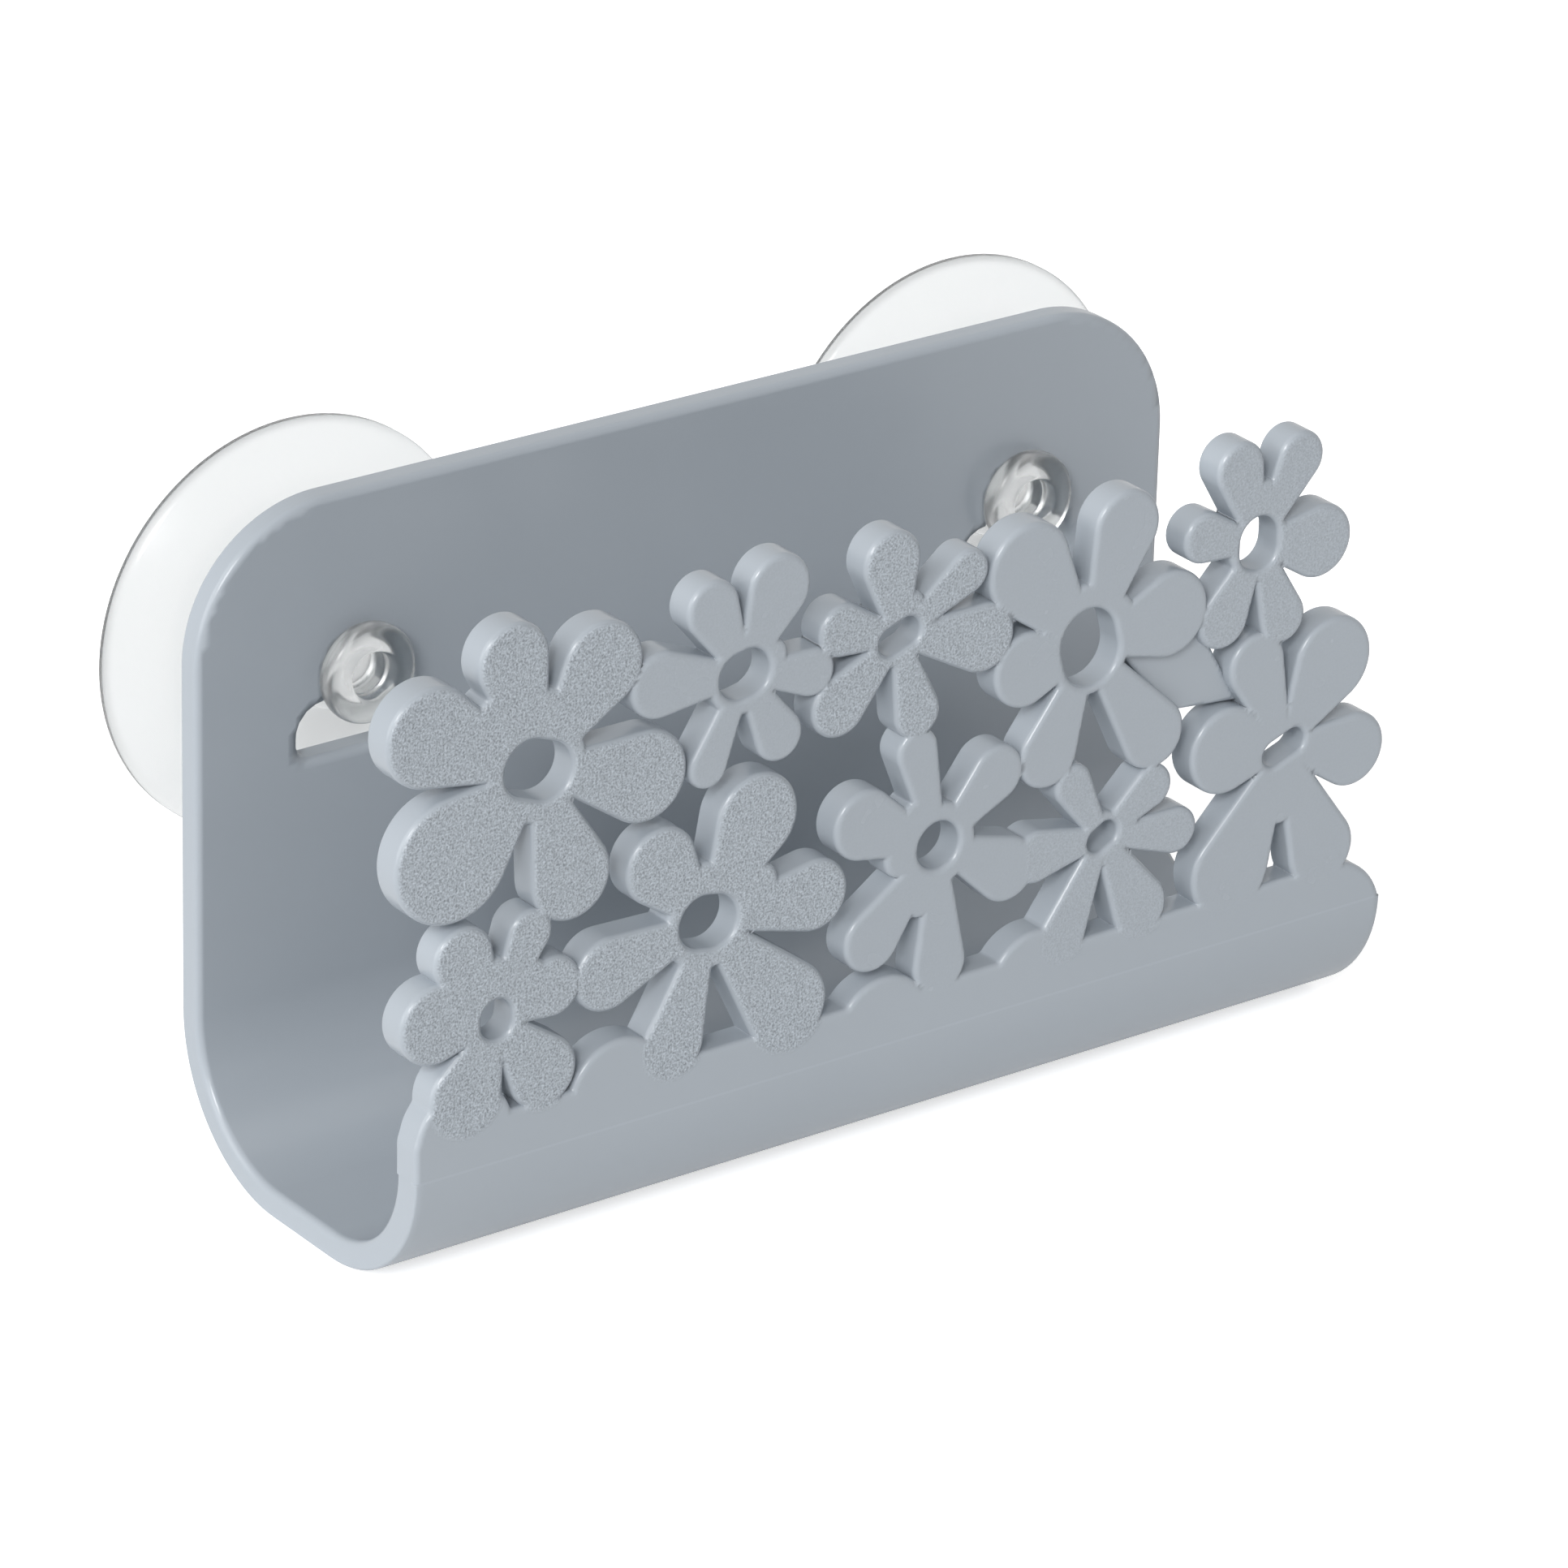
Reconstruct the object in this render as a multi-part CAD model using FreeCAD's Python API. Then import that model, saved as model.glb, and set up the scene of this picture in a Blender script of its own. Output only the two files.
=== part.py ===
"""Wall-hung sponge holder: a grey moulded tray with a flower screen, on two clear suction cups.

Frame: X to the right, Y towards the wall, Z up. The origin lies on the wall, midway between the two
suction cups. All sizes are in millimetres.
"""

import FreeCAD
import Part

import math
import os

from FreeCAD import Vector

# Tray: back plate and trough, one wall bent into a J
PLATE_WIDTH = 136.0
HOLDER_HEIGHT = 78.0
WALL = 3.2
TOP_CORNER_RADIUS = 17.5
SPONGE_GAP = 40.0
BACK_BEND_RADIUS = 15.5
FRONT_BEND_RADIUS = 13.0
EDGE_EASE = 0.8

# Keyholes in the plate: a flat-bottomed entry below a narrow slot
ENTRY_WIDTH = 16.0
ENTRY_HEIGHT = 6.4
ENTRY_DROP = 9.8
ENTRY_SHOULDER_RADIUS = 3.6
ENTRY_CORNER_RADIUS = 1.6
NECK_CLEARANCE = 0.3
SEAT_CLEARANCE = 0.3

# Suction cups
CUP_SPACING = 93.0
CUP_DROP = 21.5
CUP_DIAMETER = 50.0
RIM_LAND = 1.0
HOLLOW_DEPTH = 4.2
HOLLOW_FLOOR_DIAMETER = 32.0
DISH_DEPTH = 11.3
HUB_DIAMETER = 13.0
NECK_DIAMETER = 7.6
HEAD_DIAMETER = 12.0
HEAD_THICKNESS = 3.0
HEAD_EASE = 0.5
POCKET_DIAMETER = 5.6
POCKET_DEPTH = 4.5

# Flower screen: a flat panel that carries on upwards from the trough's front bend
SCREEN_THICKNESS = 4.0
LIP_HEIGHT = 5.8
LIP_LEFT_RADIUS = 2.0
LIP_RIGHT_RADIUS = 8.0
PETAL_ROOT_RADIUS = 1.2
WEB_RECESS = 1.5

# Length of one unit in the tables below, which lay the screen out
LAYOUT_UNIT_LENGTH = 1.0

# Humps along the lip, which meet the lowest petals: x, height above the lip, radius
HUMPS = [
    (-61.4, 4.5, 6.4),
    (-40.9, 4.7, 6.7),
    (-4.5, 2.6, 6.6),
    (17.0, 2.8, 6.5),
]

# Web between two flowers: corners as x, height above the lip
WEB_CORNERS = [(28.0, 34.5), (40.0, 34.5), (46.0, 24.0), (36.0, 25.0)]

# Flowers: centre x, centre height above the lip, hub radius, hole (half width, half height, tilt),
# and petals as (direction in degrees, reach to the middle of the tip, tip radius). The short petals in a
# list's last row fill the notch between two long ones
FLOWERS = [
    (-52.3, 39.9, 6.3, (4.5, 3.4, -20.0), [
        (104, 13.8, 4.6), (51, 13.1, 5.3), (-17, 14.8, 5.5),
        (-72, 14.6, 5.2), (-144, 13.7, 7.5), (153, 15.6, 5.9),
        (80, 7.0, 2.4), (127, 9.4, 2.6)]),
    (-57.4, 11.4, 3.9, (2.0, 2.4, 0.0), [
        (118, 9.4, 3.9), (65, 10.2, 2.9), (15, 7.7, 3.7),
        (-52, 10.2, 4.4), (-115, 9.2, 4.8), (170, 8.0, 4.8),
        (43, 6.4, 1.8), (90, 5.6, 1.9)]),
    (-29.2, 15.8, 5.8, (3.9, 3.2, -10.0), [
        (60, 12.6, 5.5), (128, 10.6, 4.7), (-2, 14.6, 4.4),
        (-50, 17.3, 5.4), (-108, 14.4, 4.2), (-168, 13.7, 4.5),
        (23, 7.4, 2.6), (94, 5.2, 2.2)]),
    (-25.1, 44.6, 4.8, (3.4, 2.8, 10.0), [
        (117, 9.7, 3.5), (64, 10.1, 4.2), (-12, 9.5, 2.9),
        (-60, 9.8, 3.1), (-115, 11.0, 2.6), (173, 11.3, 4.0),
        (20, 4.0, 2.0)]),
    (-4.0, 44.1, 3.7, (2.9, 1.7, 20.0), [
        (98, 9.2, 3.9), (31, 10.9, 2.8), (-14, 12.2, 4.2),
        (-74, 10.3, 3.1), (-141, 10.3, 3.8), (162, 8.3, 3.2),
        (63, 3.8, 1.7)]),
    (23.0, 36.4, 5.9, (3.9, 4.8, 15.0), [
        (128, 14.6, 5.7), (71, 14.3, 4.6), (7, 11.6, 5.3),
        (-53, 16.3, 4.3), (-114, 13.1, 4.1), (-176, 8.9, 4.6),
        (42, 5.2, 2.2), (99, 5.8, 2.2)]),
    (2.4, 17.1, 5.2, (2.9, 2.9, 0.0), [
        (105, 12.7, 2.8), (40, 10.5, 3.6), (-29, 11.4, 4.0),
        (-87, 15.0, 3.7), (-133, 13.0, 3.9), (154, 11.5, 4.3),
        (-110, 6.8, 2.0), (-177, 5.0, 2.5), (126, 5.4, 2.0)]),
    (26.0, 12.2, 3.1, (2.2, 1.5, 30.0), [
        (121, 8.8, 2.6), (33, 8.3, 2.8), (-10, 11.0, 2.9),
        (-60, 12.0, 3.8), (-115, 12.2, 3.4), (-179, 9.4, 3.3)]),
    (52.3, 16.9, 3.9, (3.1, 1.6, 20.0), [
        (112, 12.3, 4.0), (54, 11.4, 5.6), (-15, 10.8, 4.6),
        (-66, 15.9, 4.7), (-117, 15.6, 5.7), (169, 8.6, 5.4),
        (-90, 7.5, 2.2)]),
    (47.0, 43.6, 4.3, (2.7, 3.3, 0.0), [
        (108, 10.2, 3.4), (59, 10.8, 3.3), (-11, 9.3, 4.5),
        (-68, 10.9, 3.2), (-119, 9.6, 3.6), (163, 8.2, 3.1),
        (83, 6.0, 1.8)]),
]

# Levels worked out from the sizes above
HUB_FACE_Y = -DISH_DEPTH
PLATE_BACK_Y = HUB_FACE_Y - SEAT_CLEARANCE
PLATE_FRONT_Y = PLATE_BACK_Y - WALL
HEAD_BACK_Y = PLATE_FRONT_Y - SEAT_CLEARANCE
SCREEN_BACK_Y = PLATE_FRONT_Y - SPONGE_GAP
SCREEN_FRONT_Y = SCREEN_BACK_Y - SCREEN_THICKNESS
TOP_Z = CUP_DROP
BOTTOM_Z = TOP_Z - HOLDER_HEIGHT
SEAM_Z = BOTTOM_Z + WALL + FRONT_BEND_RADIUS
LIP_Z = SEAM_Z + LIP_HEIGHT

TOLERANCE = 1e-4
X_AXIS = Vector(1, 0, 0)
Y_AXIS = Vector(0, 1, 0)


def line(start, end):
    """Straight edge between two points."""
    return Part.LineSegment(start, end).toShape()


def arc(start, through, end):
    """Circular edge from start to end by way of a third point."""
    return Part.Arc(start, through, end).toShape()


def quarter(centre, radius, start, end):
    """Quarter-circle edge between two unit directions at right angles."""
    middle = (start + end).normalize()
    return arc(centre + start * radius, centre + middle * radius, centre + end * radius)


def prism(edges, direction):
    """Solid swept from a closed loop of edges along a direction."""
    wire = Part.Wire(Part.__sortEdges__(edges))
    return Part.Face(wire).extrude(direction)


def cylinder_along_y(x, z, radius, y_start, y_end):
    """Round bar along Y between two levels."""
    return Part.makeCylinder(radius, y_end - y_start, Vector(x, y_start, z), Y_AXIS)


def lies_on(edge, axis, level):
    """True where every end of the edge is at that level on the axis (0, 1 or 2)."""
    return all(abs(vertex.Point[axis] - level) < TOLERANCE for vertex in edge.Vertexes)


def tray_profile():
    """Edges of the J-shaped wall in the plane of its left end."""
    x = -PLATE_WIDTH / 2
    back_outer = BACK_BEND_RADIUS + WALL
    front_outer = FRONT_BEND_RADIUS + WALL
    back_centre = Vector(x, PLATE_FRONT_Y - BACK_BEND_RADIUS, BOTTOM_Z + back_outer)
    front_centre = Vector(x, SCREEN_BACK_Y + FRONT_BEND_RADIUS, SEAM_Z)
    front_outer_centre = Vector(x, SCREEN_FRONT_Y + front_outer, SEAM_Z)
    back = Vector(0, 1, 0)
    front = Vector(0, -1, 0)
    down = Vector(0, 0, -1)
    top_back = Vector(x, PLATE_BACK_Y, TOP_Z)
    top_front = Vector(x, PLATE_FRONT_Y, TOP_Z)
    return [
        line(top_back, back_centre + back * back_outer),
        quarter(back_centre, back_outer, back, down),
        line(back_centre + down * back_outer, front_outer_centre + down * front_outer),
        quarter(front_outer_centre, front_outer, down, front),
        line(front_outer_centre + front * front_outer, front_centre + front * FRONT_BEND_RADIUS),
        quarter(front_centre, FRONT_BEND_RADIUS, front, down),
        line(front_centre + down * FRONT_BEND_RADIUS, back_centre + down * BACK_BEND_RADIUS),
        quarter(back_centre, BACK_BEND_RADIUS, down, back),
        line(back_centre + back * BACK_BEND_RADIUS, top_front),
        line(top_front, top_back),
    ]


def round_top_corners(tray):
    """Round the plate's two top corners."""
    corners = [edge for edge in tray.Edges
               if lies_on(edge, 2, TOP_Z) and abs(abs(edge.Vertexes[0].X) - PLATE_WIDTH / 2) < TOLERANCE
               and lies_on(edge, 0, edge.Vertexes[0].X)]
    return tray.makeFillet(TOP_CORNER_RADIUS, corners)


def is_rim_face(face):
    """True for the faces that run round the edge of the bent wall."""
    direction = face.normalAt(*face.Surface.parameter(face.CenterOfMass))
    if isinstance(face.Surface, Part.Cylinder):
        return abs(face.Surface.Axis.y) > 1 - TOLERANCE
    at_end = abs(direction.x) > 1 - TOLERANCE
    at_top = direction.z > 1 - TOLERANCE and abs(face.CenterOfMass.z - TOP_Z) < TOLERANCE
    return at_end or at_top


def ease_rim(tray):
    """Take the edge off both sides of the wall's rim, from lip to lip over the top."""
    owners = {}
    for face in filter(is_rim_face, tray.Faces):
        for edge in face.Edges:
            owners.setdefault(edge.hashCode(), []).append(edge)
    edges = [found[0] for found in owners.values() if len(found) == 1]
    edges = [edge for edge in edges if not lies_on(edge, 2, SEAM_Z)]
    return tray.makeChamfer(EDGE_EASE, edges)


def keyhole(x):
    """Cutter for one keyhole: the slot that the neck hangs in and the entry below it."""
    slot_radius = NECK_DIAMETER / 2 + NECK_CLEARANCE
    depth = PLATE_BACK_Y - PLATE_FRONT_Y
    top = ENTRY_HEIGHT - ENTRY_DROP
    half = ENTRY_WIDTH / 2
    corner = ENTRY_CORNER_RADIUS
    shoulder = ENTRY_SHOULDER_RADIUS
    left = Vector(-1, 0, 0)
    right = Vector(1, 0, 0)
    up = Vector(0, 0, 1)
    down = Vector(0, 0, -1)

    def at(offset, z):
        return Vector(x + offset, PLATE_FRONT_Y, z)

    entry = prism([
        quarter(at(-half + corner, corner - ENTRY_DROP), corner, left, down),
        line(at(-half + corner, -ENTRY_DROP), at(half - corner, -ENTRY_DROP)),
        quarter(at(half - corner, corner - ENTRY_DROP), corner, down, right),
        line(at(half, corner - ENTRY_DROP), at(half, top - shoulder)),
        quarter(at(half - shoulder, top - shoulder), shoulder, right, up),
        line(at(half - shoulder, top), at(shoulder - half, top)),
        quarter(at(shoulder - half, top - shoulder), shoulder, up, left),
        line(at(-half, top - shoulder), at(-half, corner - ENTRY_DROP)),
    ], Y_AXIS * depth)
    slot = Part.makeBox(2 * slot_radius, depth, ENTRY_DROP - ENTRY_HEIGHT / 2,
                        at(-slot_radius, ENTRY_HEIGHT / 2 - ENTRY_DROP))
    seat = cylinder_along_y(x, 0, slot_radius, PLATE_FRONT_Y, PLATE_BACK_Y)
    return entry.fuse([slot, seat])


def make_tray():
    """Back plate and trough: the J profile swept across the width, eased and pierced."""
    tray = prism(tray_profile(), X_AXIS * PLATE_WIDTH)
    tray = ease_rim(round_top_corners(tray))
    return tray.cut([keyhole(-CUP_SPACING / 2), keyhole(CUP_SPACING / 2)])


def on_screen(x, height):
    """Point on the screen's front, by its height above the lip."""
    return Vector(x, SCREEN_FRONT_Y, LIP_Z + height)


def flat_face(edges):
    """Flat face on the screen's front inside a closed loop of edges."""
    wire = Part.Wire(Part.__sortEdges__(edges))
    return Part.Face(wire)


def disc(x, height, radius):
    """Round face on the screen's front."""
    return flat_face([Part.Circle(on_screen(x, height), Y_AXIS, radius).toShape()])


def hump(x, height, radius):
    """Round-topped rise of the lip, cut off level with the strip's lower edge."""
    corners = [on_screen(x - radius, -LIP_HEIGHT), on_screen(x + radius, -LIP_HEIGHT),
               on_screen(x + radius, height), on_screen(x - radius, height)]
    above = flat_face(Part.makePolygon(corners + corners[:1]).Edges)
    return disc(x, height - radius, radius).common(above)


def petal(centre_x, centre_height, direction, reach, tip_radius):
    """Teardrop: the outer tangents of a small root circle and a larger tip circle, cut off in the hub."""
    heading = math.radians(direction)
    spread = math.acos((PETAL_ROOT_RADIUS - tip_radius) / reach)
    tip_x = centre_x + reach * math.cos(heading)
    tip_height = centre_height + reach * math.sin(heading)

    def root_at(angle):
        return on_screen(centre_x + PETAL_ROOT_RADIUS * math.cos(angle),
                         centre_height + PETAL_ROOT_RADIUS * math.sin(angle))

    def tip_at(angle):
        return on_screen(tip_x + tip_radius * math.cos(angle), tip_height + tip_radius * math.sin(angle))

    low = heading - spread
    high = heading + spread
    return flat_face([
        arc(tip_at(low), tip_at(heading), tip_at(high)),
        line(tip_at(high), root_at(high)),
        line(root_at(high), root_at(low)),
        line(root_at(low), tip_at(low)),
    ])


def flower_hole(x, height, half_width, half_height, tilt):
    """Oval face for the hole in a flower's middle: two half circles joined by straight sides."""
    angle = math.radians(tilt)
    along = Vector(math.cos(angle), 0, math.sin(angle))
    across = Vector(-math.sin(angle), 0, math.cos(angle))
    if half_width < half_height:
        along, across = across, along
        half_width, half_height = half_height, half_width
    centre = on_screen(x, height)
    if half_width == half_height:
        return disc(x, height, half_width)
    far = centre + along * (half_width - half_height)
    near = centre - along * (half_width - half_height)
    return flat_face([
        arc(far - across * half_height, far + along * half_height, far + across * half_height),
        line(far + across * half_height, near + across * half_height),
        arc(near + across * half_height, near - along * half_height, near - across * half_height),
        line(near - across * half_height, far - across * half_height),
    ])


def make_lip():
    """Plain strip from the parting line up to the lip, eased like the tray's rim."""
    half = PLATE_WIDTH / 2
    left_radius = LIP_LEFT_RADIUS
    turn = math.acos(1 - LIP_HEIGHT / LIP_RIGHT_RADIUS)
    right_start = half - LIP_RIGHT_RADIUS * math.sin(turn)

    def right_end(angle):
        return on_screen(right_start + LIP_RIGHT_RADIUS * math.sin(angle),
                         LIP_RIGHT_RADIUS * (math.cos(angle) - 1))

    strip = prism([
        line(on_screen(-half, -LIP_HEIGHT), right_end(turn)),
        arc(right_end(turn), right_end(turn / 2), right_end(0)),
        line(right_end(0), on_screen(left_radius - half, 0)),
        quarter(on_screen(left_radius - half, -left_radius), left_radius, Vector(0, 0, 1), Vector(-1, 0, 0)),
        line(on_screen(-half, -left_radius), on_screen(-half, -LIP_HEIGHT)),
    ], Y_AXIS * SCREEN_THICKNESS)
    rim = [edge for edge in strip.Edges
           if (lies_on(edge, 1, SCREEN_FRONT_Y) or lies_on(edge, 1, SCREEN_BACK_Y))
           and not lies_on(edge, 2, SEAM_Z)]
    return strip.makeChamfer(EDGE_EASE, rim)


def make_web():
    """Thin recessed web that ties two flowers together."""
    corners = [on_screen(x * LAYOUT_UNIT_LENGTH, height * LAYOUT_UNIT_LENGTH) + Y_AXIS * WEB_RECESS
               for x, height in WEB_CORNERS]
    sides = [line(start, end) for start, end in zip(corners, corners[1:] + corners[:1])]
    return prism(sides, Y_AXIS * (SCREEN_THICKNESS - WEB_RECESS))


def screen_outline():
    """Humps, hubs and petals joined into one flat outline, with the flowers' middles cut out."""
    unit = LAYOUT_UNIT_LENGTH
    faces = [hump(x * unit, height * unit, radius * unit) for x, height, radius in HUMPS]
    holes = []
    for x, height, hub_radius, (half_width, half_height, tilt), petals in FLOWERS:
        centre = (x * unit, height * unit)
        faces.append(disc(*centre, hub_radius * unit))
        for direction, reach, tip_radius in petals:
            faces.append(petal(*centre, direction, reach * unit, tip_radius * unit))
        holes.append(flower_hole(*centre, half_width * unit, half_height * unit, tilt))
    return faces[0].fuse(faces[1:]).cut(holes).removeSplitter()


def make_flower_screen():
    """Open panel raised from its outline, standing on the lip, with a web between two flowers."""
    panel = screen_outline().extrude(Y_AXIS * SCREEN_THICKNESS)
    return make_lip().fuse([panel, make_web()]).removeSplitter()


def make_cup(x):
    """Suction cup: hollow dish, neck and button head in one section, turned about the axis of the cup."""
    rim = CUP_DIAMETER / 2
    hub = HUB_DIAMETER / 2
    neck = NECK_DIAMETER / 2
    head = HEAD_DIAMETER / 2
    pocket = POCKET_DIAMETER / 2
    head_front = HEAD_BACK_Y - HEAD_THICKNESS
    section = [
        (0, -HOLLOW_DEPTH),
        (HOLLOW_FLOOR_DIAMETER / 2, -HOLLOW_DEPTH),
        (rim - RIM_LAND, 0),
        (rim, 0),
        (hub, HUB_FACE_Y),
        (neck, HUB_FACE_Y),
        (neck, HEAD_BACK_Y),
        (head, HEAD_BACK_Y),
        (head, head_front + HEAD_EASE),
        (head - HEAD_EASE, head_front),
        (pocket, head_front),
        (pocket, head_front + POCKET_DEPTH),
        (0, head_front + POCKET_DEPTH),
    ]
    corners = [Vector(x + radius, y, 0) for radius, y in section]
    face = Part.Face(Part.makePolygon(corners + corners[:1]))
    return face.revolve(Vector(x, 0, 0), Y_AXIS, 360)


def main():
    parts = {
        "holder_tray": make_tray(),
        "flower_screen": make_flower_screen(),
        "suction_cup_left": make_cup(-CUP_SPACING / 2),
        "suction_cup_right": make_cup(CUP_SPACING / 2),
    }
    os.makedirs("parts", exist_ok=True)
    for name, shape in parts.items():
        shape.exportStep(os.path.join("parts", name + ".step"))
        print(name, "solids", len(shape.Solids), "valid", shape.isValid(), "volume", round(shape.Volume, 1))


main()
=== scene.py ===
"""Wall-hung sponge holder with a flower screen, dressed around its CAD frame."""

import math

import bpy
import numpy as np
from bpy.props import FloatProperty, FloatVectorProperty, PointerProperty
from mathutils import Matrix, Vector


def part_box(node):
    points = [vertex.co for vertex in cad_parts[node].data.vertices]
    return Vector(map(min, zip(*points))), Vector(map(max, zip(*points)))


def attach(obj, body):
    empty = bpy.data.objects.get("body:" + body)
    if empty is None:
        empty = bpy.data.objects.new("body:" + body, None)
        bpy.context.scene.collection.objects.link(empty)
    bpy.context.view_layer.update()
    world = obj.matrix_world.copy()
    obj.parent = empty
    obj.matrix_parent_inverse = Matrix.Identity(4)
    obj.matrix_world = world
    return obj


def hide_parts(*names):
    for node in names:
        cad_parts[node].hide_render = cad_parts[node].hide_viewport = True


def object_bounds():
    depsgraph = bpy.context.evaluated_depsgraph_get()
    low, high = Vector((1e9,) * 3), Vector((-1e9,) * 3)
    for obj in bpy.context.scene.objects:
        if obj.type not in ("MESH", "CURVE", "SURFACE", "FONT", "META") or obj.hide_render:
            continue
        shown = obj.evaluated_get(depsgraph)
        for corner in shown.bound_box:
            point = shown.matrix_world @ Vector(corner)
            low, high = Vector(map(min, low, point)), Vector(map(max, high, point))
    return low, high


bl_info = {
    "name": "Sponge Holder",
    "version": (1, 0, 0),
    "blender": (4, 5, 0),
    "location": "View3D > Sidebar > Sponge Holder",
    "description": "Grey sponge holder with a flower screen, hung on clear suction cups",
    "category": "Add Mesh",
}

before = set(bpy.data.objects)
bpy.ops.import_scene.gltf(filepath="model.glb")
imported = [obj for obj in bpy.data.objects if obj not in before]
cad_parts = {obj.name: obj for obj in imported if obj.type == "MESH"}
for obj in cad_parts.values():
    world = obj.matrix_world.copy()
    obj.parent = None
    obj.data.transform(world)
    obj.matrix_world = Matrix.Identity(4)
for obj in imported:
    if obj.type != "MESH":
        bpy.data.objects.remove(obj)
CAD_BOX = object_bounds()
TRAY_LOW, TRAY_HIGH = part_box("holder_tray")
SCREEN_LOW, SCREEN_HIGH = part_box("flower_screen")
CUP_LOW, CUP_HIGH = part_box("suction_cup_right")
MM = 0.001
EIGHTH = math.pi / 4

# Net spacing along the tray and over the screen
TRAY_STEP = 0.95 * MM
SCREEN_STEP = 0.4 * MM

# The screen's outline stays this far inside the CAD outline, so that no facet passes the CAD box
HAIR = 0.01 * MM

# Rounding along the back of the screen and around the web, and the web's gap to the screen's back
BACK_EDGE = 0.4 * MM
WEB_GAP = 0.1 * MM

# Lower and upper corners of a keyhole's entry
ENTRY_CORNER = 1.6 * MM
ENTRY_SHOULDER = 3.6 * MM

# Suction cup: flat rim, swell of the dish, hub, head and the pocket in the head
RIM_LAND = 1.0 * MM
RIM_CHAMFER = 0.2 * MM
DISH_SWELL = 8.0 * MM
HUB_HEIGHT = 2.3 * MM
HEAD_THICKNESS = 3.0 * MM
HEAD_ROUNDING = 1.45 * MM
POCKET_RADIUS = 2.8 * MM
POCKET_DEPTH = 4.5 * MM

# Levels along the cup's axis between which painted shade takes the vinyl from clear to grey
CLEAR_Y = -4.8 * MM
GREY_Y = -8.8 * MM

# Heights of the moulded surface, half width of the painted highlight along the parting line, fading of the
# grain at an outline
GRAIN_HEIGHT = 0.16 * MM
VINYL_RIPPLE = 0.08 * MM
PARTING_HIGHLIGHT_HALF = 0.15 * MM
GRAIN_FADE = 0.6 * MM

# Directions towards the two lamps and their spread in degrees
KEY_FROM, KEY_SPREAD = (-0.9, 0.0, 0.42), 60
FILL_FROM, FILL_SPREAD = (-0.62, -0.58, 0.53), 18

# Humps along the lip in millimetres: x, height above the lip, radius
HUMPS = [(-61.4, 4.5, 6.4), (-40.9, 4.7, 6.7), (-4.5, 2.6, 6.6), (17.0, 2.8, 6.5)]

# Web between two flowers: corners as x and height above the lip, in millimetres
WEB = [(28.0, 34.5), (40.0, 34.5), (46.0, 24.0), (36.0, 25.0)]

# Flowers in millimetres: centre x, centre height above the lip, hub radius,
# hole (half width, half height, tilt in degrees), petals (direction in degrees, reach, tip radius).
# The short petals in a list's last row fill the notch between two long ones
FLOWERS = [
    (-52.3, 39.9, 6.3, (4.5, 3.4, -20.0), [
        (104, 13.8, 4.6), (51, 13.1, 5.3), (-17, 14.8, 5.5),
        (-72, 14.6, 5.2), (-144, 13.7, 7.5), (153, 15.6, 5.9),
        (80, 7.0, 2.4), (127, 9.4, 2.6)]),
    (-57.4, 11.4, 3.9, (2.0, 2.4, 0.0), [
        (118, 9.4, 3.9), (65, 10.2, 2.9), (15, 7.7, 3.7),
        (-52, 10.2, 4.4), (-115, 9.2, 4.8), (170, 8.0, 4.8),
        (43, 6.4, 1.8), (90, 5.6, 1.9)]),
    (-29.2, 15.8, 5.8, (3.9, 3.2, -10.0), [
        (60, 12.6, 5.5), (128, 10.6, 4.7), (-2, 14.6, 4.4),
        (-50, 17.3, 5.4), (-108, 14.4, 4.2), (-168, 13.7, 4.5),
        (23, 7.4, 2.6), (94, 5.2, 2.2)]),
    (-25.1, 44.6, 4.8, (3.4, 2.8, 10.0), [
        (117, 9.7, 3.5), (64, 10.1, 4.2), (-12, 9.5, 2.9),
        (-60, 9.8, 3.1), (-115, 11.0, 2.6), (173, 11.3, 4.0),
        (20, 4.0, 2.0)]),
    (-4.0, 44.1, 3.7, (2.9, 1.7, 20.0), [
        (98, 9.2, 3.9), (31, 10.9, 2.8), (-14, 12.2, 4.2),
        (-74, 10.3, 3.1), (-141, 10.3, 3.8), (162, 8.3, 3.2),
        (63, 3.8, 1.7)]),
    (23.0, 36.4, 5.9, (3.9, 4.8, 15.0), [
        (128, 14.6, 5.7), (71, 14.3, 4.6), (7, 11.6, 5.3),
        (-53, 16.3, 4.3), (-114, 13.1, 4.1), (-176, 8.9, 4.6),
        (42, 5.2, 2.2), (99, 5.8, 2.2)]),
    (2.4, 17.1, 5.2, (2.9, 2.9, 0.0), [
        (105, 12.7, 2.8), (40, 10.5, 3.6), (-29, 11.4, 4.0),
        (-87, 15.0, 3.7), (-133, 13.0, 3.9), (154, 11.5, 4.3),
        (-110, 6.8, 2.0), (-177, 5.0, 2.5), (126, 5.4, 2.0)]),
    (26.0, 12.2, 3.1, (2.2, 1.5, 30.0), [
        (121, 8.8, 2.6), (33, 8.3, 2.8), (-10, 11.0, 2.9),
        (-60, 12.0, 3.8), (-115, 12.2, 3.4), (-179, 9.4, 3.3)]),
    (52.3, 16.9, 3.9, (3.1, 1.6, 20.0), [
        (112, 12.3, 4.0), (54, 11.4, 5.6), (-15, 10.8, 4.6),
        (-66, 15.9, 4.7), (-117, 15.6, 5.7), (169, 8.6, 5.4),
        (-90, 7.5, 2.2)]),
    (47.0, 43.6, 4.3, (2.7, 3.3, 0.0), [
        (108, 10.2, 3.4), (59, 10.8, 3.3), (-11, 9.3, 4.5),
        (-68, 10.9, 3.2), (-119, 9.6, 3.6), (163, 8.2, 3.1),
        (83, 6.0, 1.8)]),
]

# Strength of the moulded grain on each flower's front
GRAIN = np.array([1.0, 1.0, 1.0, 0.1, 0.9, 0.05, 0.05, 0.3, 0.05, 0.4])


def length(name, text, default):
    """Length property in metres."""
    return FloatProperty(name=name, description=text, default=default, unit="LENGTH", subtype="DISTANCE")


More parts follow.
